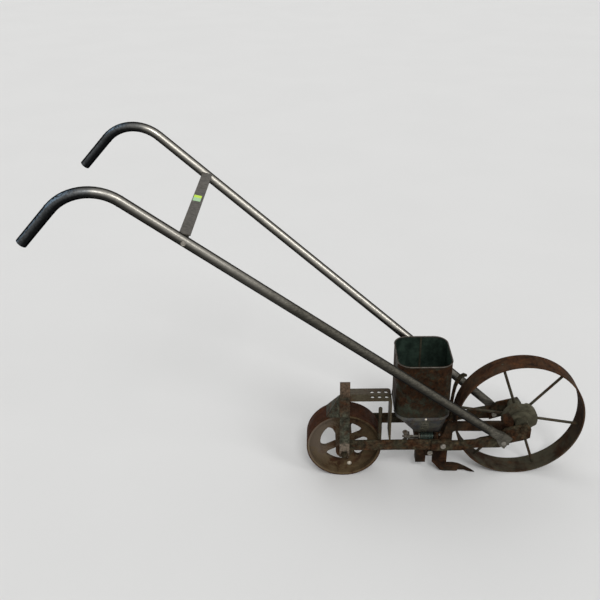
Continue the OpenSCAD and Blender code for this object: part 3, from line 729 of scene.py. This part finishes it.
def revolve(bm, profile, matrix, steps=32):
    """Solid turned about +Z from (radius, height) points, bottom to top; ends of radius 0 close it."""
    rings = []
    for radius, height in profile:
        turns = [2 * math.pi * i / steps for i in range(steps if radius else 1)]
        points = [Vector((radius * math.cos(a), radius * math.sin(a), height)) for a in turns]
        rings.append([bm.verts.new(matrix @ point) for point in points])
    for low, high in zip(rings, rings[1:]):
        for i in range(steps):
            j = (i + 1) % steps
            if len(low) == 1:
                bm.faces.new((low[0], high[j], high[i]))
            elif len(high) == 1:
                bm.faces.new((low[i], low[j], high[0]))
            else:
                bm.faces.new((low[i], low[j], high[j], high[i]))


def skin(bm, sections):
    """Closed solid through sections of equally many points."""
    rings = [[bm.verts.new(point) for point in section] for section in sections]
    for a, b in zip(rings, rings[1:]):
        for i in range(len(a)):
            j = (i + 1) % len(a)
            bm.faces.new((a[i], a[j], b[j], b[i]))
    bm.faces.new(rings[0])
    bm.faces.new(rings[-1][::-1])


def rounded_outline(width, depth, radius, steps=10):
    """Points of a rounded rectangle, anticlockwise."""
    points = []
    for corner, (sx, sy) in enumerate(((1, 1), (-1, 1), (-1, -1), (1, -1))):
        cx, cy = sx * (width / 2 - radius), sy * (depth / 2 - radius)
        for i in range(steps + 1):
            a = math.pi / 2 * (corner + i / steps)
            points.append((cx + radius * math.cos(a), cy + radius * math.sin(a)))
    return points


def geometry_group(name, **lengths):
    """A Geometry Nodes group with Geometry in and out, named lengths and the material."""
    inputs = [("Geometry", "Geometry", None)]
    inputs += [(socket.replace("_", " "), "Float", default) for socket, default in lengths.items()]
    inputs.append(("Material", "Material", None))
    return Group(name, "GeometryNodeTree", inputs, (("Geometry", "Geometry"),))


def end_tree(g, shape):
    """Realize Instances, smooth shading and Set Material at the end of a tree."""
    real = g.add("GeometryNodeRealizeInstances", {0: shape}).outputs[0]
    smooth = g.add("GeometryNodeSetShadeSmooth", {"Geometry": real, "Shade Smooth": True}).outputs[0]
    inputs = {"Geometry": smooth, "Material": g.given["Material"]}
    return g.give(Geometry=g.add("GeometryNodeSetMaterial", inputs).outputs[0])


def grow(name, tree, values, base_mesh, body, slot, finish=None):
    """Runs a tree on a base mesh, keeps the result as a plain mesh, and rides it on a body."""
    seed = bpy.data.objects.new(f"{name}_seed", base_mesh)
    bpy.context.scene.collection.objects.link(seed)
    modifier = seed.modifiers.new(name, "NODES")
    modifier.node_group = tree
    keys = {item.name: item.identifier for item in tree.interface.items_tree if item.in_out == "INPUT"}
    for socket, value in {**values, "Material": finish_of(finish or slot)}.items():
        modifier[keys[socket]] = value
    mesh = bpy.data.meshes.new_from_object(seed.evaluated_get(bpy.context.evaluated_depsgraph_get()))
    bpy.data.objects.remove(seed)
    if not mesh.polygons:
        raise RuntimeError(f"{name}: the tree made no faces")
    return place_piece(name, mesh, body)


def points_mesh(name, places):
    """A mesh of loose points with a unit vector on each: places holds (point, direction) pairs."""
    mesh = bpy.data.meshes.new(name)
    mesh.from_pydata([tuple(p) for p, _ in places], [], [])
    facing = mesh.attributes.new("facing", "FLOAT_VECTOR", "POINT")
    for item, (_, direction) in zip(facing.data, places):
        item.vector = direction
    return mesh


def rivet_tree():
    """A domed head on every point, standing along its facing vector."""
    g = geometry_group("Rivets", Radius=0.004, Height=0.002)
    radius, height = g.given["Radius"], g.given["Height"]
    head = g.add("GeometryNodeMeshUVSphere", {"Segments": 20, "Rings": 10, "Radius": 1.0}).outputs[0]
    facing = g.add("GeometryNodeInputNamedAttribute", {"Name": "facing"}, data_type="FLOAT_VECTOR").outputs[0]
    turn = g.add("FunctionNodeAlignRotationToVector", {"Vector": facing}, axis="Z").outputs[0]
    size = g.add("ShaderNodeCombineXYZ", {0: radius, 1: radius, 2: height}).outputs[0]
    placed = g.add("GeometryNodeInstanceOnPoints", {"Points": g.given["Geometry"], "Instance": head,
                                                    "Rotation": turn, "Scale": size}).outputs[0]
    return end_tree(g, placed)


def round_wire(g, path, steps, radius, caps=False):
    """A round wire of the given radius along a curve."""
    section = g.add("GeometryNodeCurvePrimitiveCircle", {"Resolution": steps, "Radius": radius}).outputs[0]
    inputs = {"Curve": path, "Profile Curve": section, "Fill Caps": caps}
    return g.add("GeometryNodeCurveToMesh", inputs).outputs[0]


def coil_tree():
    """A round wire wound about +X from the origin."""
    g = geometry_group("Coil", Turns=7.0, Coil_Radius=0.008, Wire_Radius=0.0016, Length=0.027)
    radius = g.given["Coil Radius"]
    spiral = g.add("GeometryNodeCurveSpiral", {
        "Resolution": 28,
        "Rotations": g.given["Turns"],
        "Start Radius": radius,
        "End Radius": radius,
        "Height": g.given["Length"],
    }).outputs[0]
    swept = round_wire(g, spiral, 10, g.given["Wire Radius"], caps=True)
    along_x = {"Geometry": swept, "Rotation": (0.0, math.pi / 2, 0.0)}
    turned = g.add("GeometryNodeTransform", along_x).outputs[0]
    placed = {"Points": g.given["Geometry"], "Instance": turned}
    return end_tree(g, g.add("GeometryNodeInstanceOnPoints", placed).outputs[0])


def bead_tree():
    """A round bead along the edges of the base mesh, which is one closed loop."""
    g = geometry_group("Bead", Radius=0.002)
    path = g.add("GeometryNodeMeshToCurve", {"Mesh": g.given["Geometry"]}).outputs[0]
    return end_tree(g, round_wire(g, path, 12, g.given["Radius"]))


def hopper_bead():
    """Wired edge round the top of the can, just inside the CAD height."""
    radius = sizes().bead_radius
    low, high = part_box("hopper_can")
    centre = box_centre("hopper_can")
    outline = rounded_outline(high.x - low.x - SHEET, high.y - low.y - SHEET, CAN_CORNER - SHEET / 2)
    loop = bpy.data.meshes.new("hopper_rim_bead")
    count = len(outline)
    loop.from_pydata([(centre.x + x, centre.y + y, high.z - radius) for x, y in outline],
                     [(i, (i + 1) % count) for i in range(count)], [])
    grow("hopper_rim_bead", bead_tree(), {"Radius": radius}, loop, "frame", "brace_grey")


def hopper_seam():
    """Folded lap seam up both faces of the far wall, as a flat strip with chamfered edges on each."""
    low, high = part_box("hopper_can")
    lift, half = 0.0011, sizes().seam_width / 2
    foot, top = low.z + 0.002, high.z - 0.005
    middle = box_centre("hopper_can").x + 0.004
    profile = [(-half, -SUNK), (-half, 0.0), (-half + lift, lift), (half - lift, lift), (half, 0.0),
               (half, -SUNK)]

    def build(bm):
        for face_y, out in ((high.y - SHEET, -1), (high.y - lift - 0.0001, 1)):
            skin(bm, [[(middle + x, face_y + out * y, z) for x, y in profile] for z in (foot, top)])

    new_piece("hopper_seam", build, "frame", "hopper_paint", 20, finish_of("seam_brown"))


def hopper_rivets():
    """Round heads along the lip where the can is fixed to the bowl."""
    s = sizes()
    low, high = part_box("hopper_bowl")
    centre = box_centre("hopper_can")
    z = high.z - 0.005

    def both_faces(x):
        """Rivets of the near and the far face at a distance along the can."""
        return [((centre.x + x, low.y, z), (0, -1, 0)), ((centre.x + x, high.y, z), (0, 1, 0))]

    places = both_faces(-0.045) + both_faces(0.050)
    for y in (-0.045, 0.045):
        places += [((low.x, centre.y + y, z), (-1, 0, 0)), ((high.x, centre.y + y, z), (1, 0, 0))]
    tree, size = rivet_tree(), {"Radius": s.rivet_radius, "Height": s.rivet_height}
    grow("hopper_rivets", tree, size, points_mesh("hopper_rivets", places), "frame", "bowl_grey")
    # The middle pair of rivets is given near-white steel as a painted glint; the others keep the bowl's finish.
    middle = points_mesh("glinting_rivets", both_faces(0.008))
    grow("glinting_rivets", tree, size, middle, "frame", "bolt_steel", "bright_steel")


def wound_spring():
    """The shut-off spring as a wound wire; it stands for the CAD sleeve."""
    s = sizes()
    low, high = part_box("shutoff_spring")
    centre = box_centre("shutoff_spring")
    start = (low.x + s.wire_radius, centre.y, centre.z)
    values = {"Turns": float(s.spring_turns), "Coil Radius": (high.z - low.z) / 2 - s.wire_radius,
              "Wire Radius": s.wire_radius, "Length": high.x - low.x - 2 * s.wire_radius}
    base = points_mesh("wound_spring", [(start, (1, 0, 0))])
    made = grow("wound_spring", coil_tree(), values, base, "frame", "spring_teal")
    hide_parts("shutoff_spring")


def winged_nut():
    """Nut with a tapered body and two rounded wings; it stands for the CAD wing nut."""
    _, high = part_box("wing_nut")
    centre = box_centre("wing_nut")
    length, bore, radius = 0.0137, 0.0036, 0.0080
    start = high.x - length
    turn = Matrix.Translation((start, centre.y, centre.z)) @ Matrix.Rotation(math.pi / 2, 4, "Y")
    body = [(bore, 0.0), (0.0062, 0.0), (0.0068, 0.0008), (radius, length - 0.0012), (radius, length),
            (bore, length), (bore, 0.0)]
    reach, wide, thick, wing_x, wing_z = 0.0237, 0.0088, 0.0017, 0.0040, 0.0140
    arc = [math.pi * (i / 16 - 0.5) for i in range(17)]
    outline = [(wing_x + wide * math.sin(a), reach - wide + wide * math.cos(a)) for a in arc]
    outline += [(0.0105, 0.0050), (0.0015, 0.0050)]

    def wing_section(side, y, scale):
        """The wing's outline at a distance from its middle plane, drawn in by a scale."""
        return [(start + wing_x + (x - wing_x) * scale, centre.y + y,
                 centre.z + side * (wing_z + (z - wing_z) * scale)) for x, z in outline]

    def build(bm):
        revolve(bm, body, turn)
        bmesh.ops.remove_doubles(bm, verts=bm.verts, dist=1e-6)
        sections = ((-thick, 0.90), (-thick * 0.6, 1.0), (thick * 0.6, 1.0), (thick, 0.90))
        for side in (-1, 1):
            skin(bm, [wing_section(side, y, scale) for y, scale in sections])

    nut = new_piece("winged_nut", build, "frame", "bolt_steel", material=finish_of("dull_steel"))
    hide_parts("wing_nut")


def near_side_pin(name, place, profile, body, finish, steps=32):
    """A turned pin or bolt head that stands out of a piece towards the near side."""
    turn = Matrix.Translation(place) @ Matrix.Rotation(math.pi / 2, 4, "X")
    new_piece(name, lambda bm: revolve(bm, profile, turn, steps), body, "bolt_steel", 40, finish_of(finish))


def web_bolt():
    """Bolt with its washer on the near face of the press wheel's web, in near-white steel as a painted glint."""
    angle, out, web_face = math.radians(282.0), 0.090, -0.016
    place = (REAR_AXLE.x + out * math.cos(angle), box_centre("rear_wheel").y + web_face,
             REAR_AXLE.z + out * math.sin(angle))
    washer = [(0.0, -SUNK), (0.0074, -SUNK), (0.0076, 0.0008), (0.0074, 0.0011), (0.0056, 0.0011)]
    dome = [(0.0056, 0.0026), (0.0049, 0.0040), (0.0032, 0.0047), (0.0, 0.0050)]
    near_side_pin("web_bolt", place, washer + dome, "rear_wheel", "bright_steel")


def feed_pin():
    """Small pale pin on the near face of the feed casting, behind the frame bolt."""
    rocker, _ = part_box("feed_rocker")
    radius, reach, rounding, casting_y = 0.0030, 0.0055, 0.0008, -0.0440
    profile = [(0.0, -SUNK), (radius, -SUNK), (radius, reach - rounding), (radius - rounding, reach),
               (0.0, reach)]
    place = (rocker.x + 0.0060, casting_y, rocker.z + 0.0310)
    near_side_pin("feed_pin", place, profile, "frame", "bolt_steel", 16)


def brace_sticker():
    """Two blank pieces of coloured sticker on top of the brace, towards the far tube."""
    c, width = colours(), sizes().sticker_width
    mesh = frame["nodes"]["handle_brace"].data
    top = [p for p in mesh.polygons if p.normal.z > 0.9 and p.area > 1e-5]
    if not top:
        raise RuntimeError("the brace has no top face")
    face = max(top, key=lambda p: p.area)
    normal = face.normal.normalized()
    across = Vector((normal.z, 0, -normal.x)).normalized()
    lengthwise = Vector((0, 1, 0))
    middle = box_centre("handle_brace")
    middle += normal * (Vector(mesh.vertices[face.vertices[0]].co) - middle).dot(normal) - across * 0.001
    for name, colour, start, end in (("sticker_lime", c.sticker_lime, 0.022, 0.040),
                                     ("sticker_pale", c.sticker_pale, -0.004, 0.022)):
        outline = rounded_outline(width, end - start, 0.0015, 4)
        centre = middle + lengthwise * ((start + end) / 2)
        flat = [centre + across * u + lengthwise * v for u, v in outline]
        layers = [[point + normal * height for point in flat] for height in (-0.0001, 0.00028)]
        new_piece(name, lambda bm: skin(bm, layers), "frame", "brace_grey", 30, sticker_finish(name, colour))


# Stage


def build_floor():
    mesh = bpy.data.meshes.new("floor")
    reach = 40.0
    corners = [(x * reach, y * reach, 0) for x, y in ((-1, -1), (1, -1), (1, 1), (-1, 1))]
    mesh.from_pydata(corners, [], [(0, 1, 2, 3)])
    made = bpy.data.objects.new("floor", mesh)
    bpy.context.scene.collection.objects.link(made)
    f = Finish("floor")
    base = colours().floor
    f.colour = f.mix(f.spread(f.noise(1.6, 3.0), 0.3, 0.7), shaded(base, 0.985), shaded(base))
    f.feed("Roughness", 0.85)
    mesh.materials.append(f.material)


def build_lights():
    """Wide soft suns from the camera's side, the right and behind: name, turn, width and strength."""
    for name, angles, width, strength in (
        ("key", (44.0, 0.0, 10.0), 16.0, 1.05),
        ("right", (53.0, 0.0, 51.0), 18.0, 0.55),
        ("back", (-48.0, 0.0, 30.0), 40.0, 0.25),
    ):
        lamp = bpy.data.lights.new(name, "SUN")
        lamp.angle = math.radians(width)
        lamp.energy = strength
        made = bpy.data.objects.new(name, lamp)
        made.location = (0.0, 0.0, 3.0)
        made.rotation_euler = [math.radians(v) for v in angles]
        bpy.context.scene.collection.objects.link(made)


def build_world():
    """Grey room light; the camera and mirrors see a brighter, pale background."""
    world = bpy.data.worlds.new("room")
    bpy.context.scene.world = world
    world.use_nodes = True
    world.node_tree.nodes.clear()
    w = Nodes(world.node_tree)
    path = w.add("ShaderNodeLightPath").outputs
    seen = w.larger(w.larger(path["Is Camera Ray"], path["Is Transmission Ray"]), path["Is Glossy Ray"])
    strength = w.span(seen, 0.0, 1.0, 0.58, 0.8)
    back = w.add("ShaderNodeBackground", {"Color": (1.0, 1.0, 1.0, 1.0), "Strength": strength})
    w.add("ShaderNodeOutputWorld", {0: back.outputs[0]})


def build_camera():
    """The fitted camera: place measured from the rear axle, angles and principal point of the photograph."""
    image_px, focal_px, middle_px = 600, 791.26, (335.456, 320.350)
    from_axle = Vector((-0.075362, -2.064409, 1.706056 - REAR_AXLE.z))
    angles = (60.9620, -0.1954, -1.2011)
    data = bpy.data.cameras.new("camera")
    data.sensor_width = 36.0
    data.lens = focal_px / image_px * data.sensor_width
    data.shift_x = (image_px / 2 - middle_px[0]) / image_px
    data.shift_y = (middle_px[1] - image_px / 2) / image_px
    data.clip_start, data.clip_end = 0.05, 60.0
    made = bpy.data.objects.new("camera", data)
    made.location = REAR_AXLE + from_axle
    made.rotation_euler = [math.radians(a) for a in angles]
    bpy.context.scene.collection.objects.link(made)
    bpy.context.scene.camera = made


# Operators


class SEEDDRILL_OT_stage(bpy.types.Operator):
    """Pale floor, soft lights and the camera"""

    bl_idname = "seeddrill.stage"
    bl_label = "Stage"

    def execute(self, context):
        build_floor()
        build_lights()
        build_world()
        build_camera()
        context.scene.view_settings.view_transform = "Standard"
        return {"FINISHED"}


class SEEDDRILL_OT_handles(bpy.types.Operator):
    """Plating of the two handle tubes, the brace between them and its bolts"""

    bl_idname = "seeddrill.handles"
    bl_label = "Handles"

    def execute(self, context):
        coat("handle_right", "handle_left", "handle_brace", "brace_bolts")
        return {"FINISHED"}


class SEEDDRILL_OT_sticker(bpy.types.Operator):
    """Blank sticker on the brace"""

    bl_idname = "seeddrill.sticker"
    bl_label = "Sticker"

    def execute(self, context):
        brace_sticker()
        return {"FINISHED"}


class SEEDDRILL_OT_frame_bars(bpy.types.Operator):
    """Rails, brackets, posts, strap, scrapers, pin, axles and bolts"""

    bl_idname = "seeddrill.frame_bars"
    bl_label = "Frame bars"

    def execute(self, context):
        for side in ("right", "left"):
            coat(f"rear_rail_{side}", f"front_rail_{side}", f"rear_post_{side}")
            coat(f"front_bracket_{side}", finish="rail_rust")
        coat("depth_strap", "upright_pin", "wheel_scraper", "front_scraper")
        coat("front_axle", "rear_axle", "frame_bolts", "handle_bolts")
        return {"FINISHED"}


class SEEDDRILL_OT_wheels(bpy.types.Operator):
    """Drive wheel, and press wheel with the bolt on its web"""

    bl_idname = "seeddrill.wheels"
    bl_label = "Wheels"

    def execute(self, context):
        coat("front_rim", "front_spokes", "front_hub", "rear_wheel")
        web_bolt()
        return {"FINISHED"}


class SEEDDRILL_OT_hopper(bpy.types.Operator):
    """Hopper can and bowl with the wired rim, lap seam and rivets"""

    bl_idname = "seeddrill.hopper"
    bl_label = "Hopper"

    def execute(self, context):
        coat("hopper_can", "hopper_bowl")
        hopper_bead()
        hopper_seam()
        hopper_rivets()
        return {"FINISHED"}


class SEEDDRILL_OT_feed(bpy.types.Operator):
    """Feed casting with its pin, rod, rocker, spout and opener"""

    bl_idname = "seeddrill.feed"
    bl_label = "Feed and opener"

    def execute(self, context):
        coat("feed_body", "feed_rod", "feed_rocker", "seed_spout", "opener_shoe")
        feed_pin()
        return {"FINISHED"}


class SEEDDRILL_OT_shutoff(bpy.types.Operator):
    """Shut-off rod with its wound spring, bracket and wing nut"""

    bl_idname = "seeddrill.shutoff"
    bl_label = "Shut-off"

    def execute(self, context):
        coat("shutoff_rod", "shutoff_bracket", finish="dull_steel")
        wound_spring()
        winged_nut()
        return {"FINISHED"}


class SEEDDRILL_PT_panel(bpy.types.Panel):
    """Lists the builders of the seed drill"""

    bl_label = "Seed drill"
    bl_idname = "SEEDDRILL_PT_panel"
    bl_space_type = "VIEW_3D"
    bl_region_type = "UI"
    bl_category = "Seed drill"

    def draw(self, context):
        for operator in OPERATORS:
            self.layout.operator(operator.bl_idname)
        for group in (sizes(), colours()):
            box = self.layout.box()
            for field in group.bl_rna.properties.keys():
                if field not in ("rna_type", "name"):
                    box.prop(group, field)


OPERATORS = (
    SEEDDRILL_OT_stage,
    SEEDDRILL_OT_handles,
    SEEDDRILL_OT_sticker,
    SEEDDRILL_OT_frame_bars,
    SEEDDRILL_OT_wheels,
    SEEDDRILL_OT_hopper,
    SEEDDRILL_OT_feed,
    SEEDDRILL_OT_shutoff,
)
CLASSES = (DrillSizes, DrillColours, *OPERATORS, SEEDDRILL_PT_panel)


def register():
    for item in CLASSES:
        bpy.utils.register_class(item)
    bpy.types.Scene.seed_drill_sizes = PointerProperty(type=DrillSizes)
    bpy.types.Scene.seed_drill_colours = PointerProperty(type=DrillColours)


def unregister():
    del bpy.types.Scene.seed_drill_colours
    del bpy.types.Scene.seed_drill_sizes
    for item in reversed(CLASSES):
        bpy.utils.unregister_class(item)


def main():
    register()
    bpy.ops.seeddrill.stage()
    bpy.ops.seeddrill.handles()
    bpy.ops.seeddrill.sticker()
    bpy.ops.seeddrill.frame_bars()
    bpy.ops.seeddrill.wheels()
    bpy.ops.seeddrill.hopper()
    bpy.ops.seeddrill.feed()
    bpy.ops.seeddrill.shutoff()


if __name__ == "__main__":
    main()
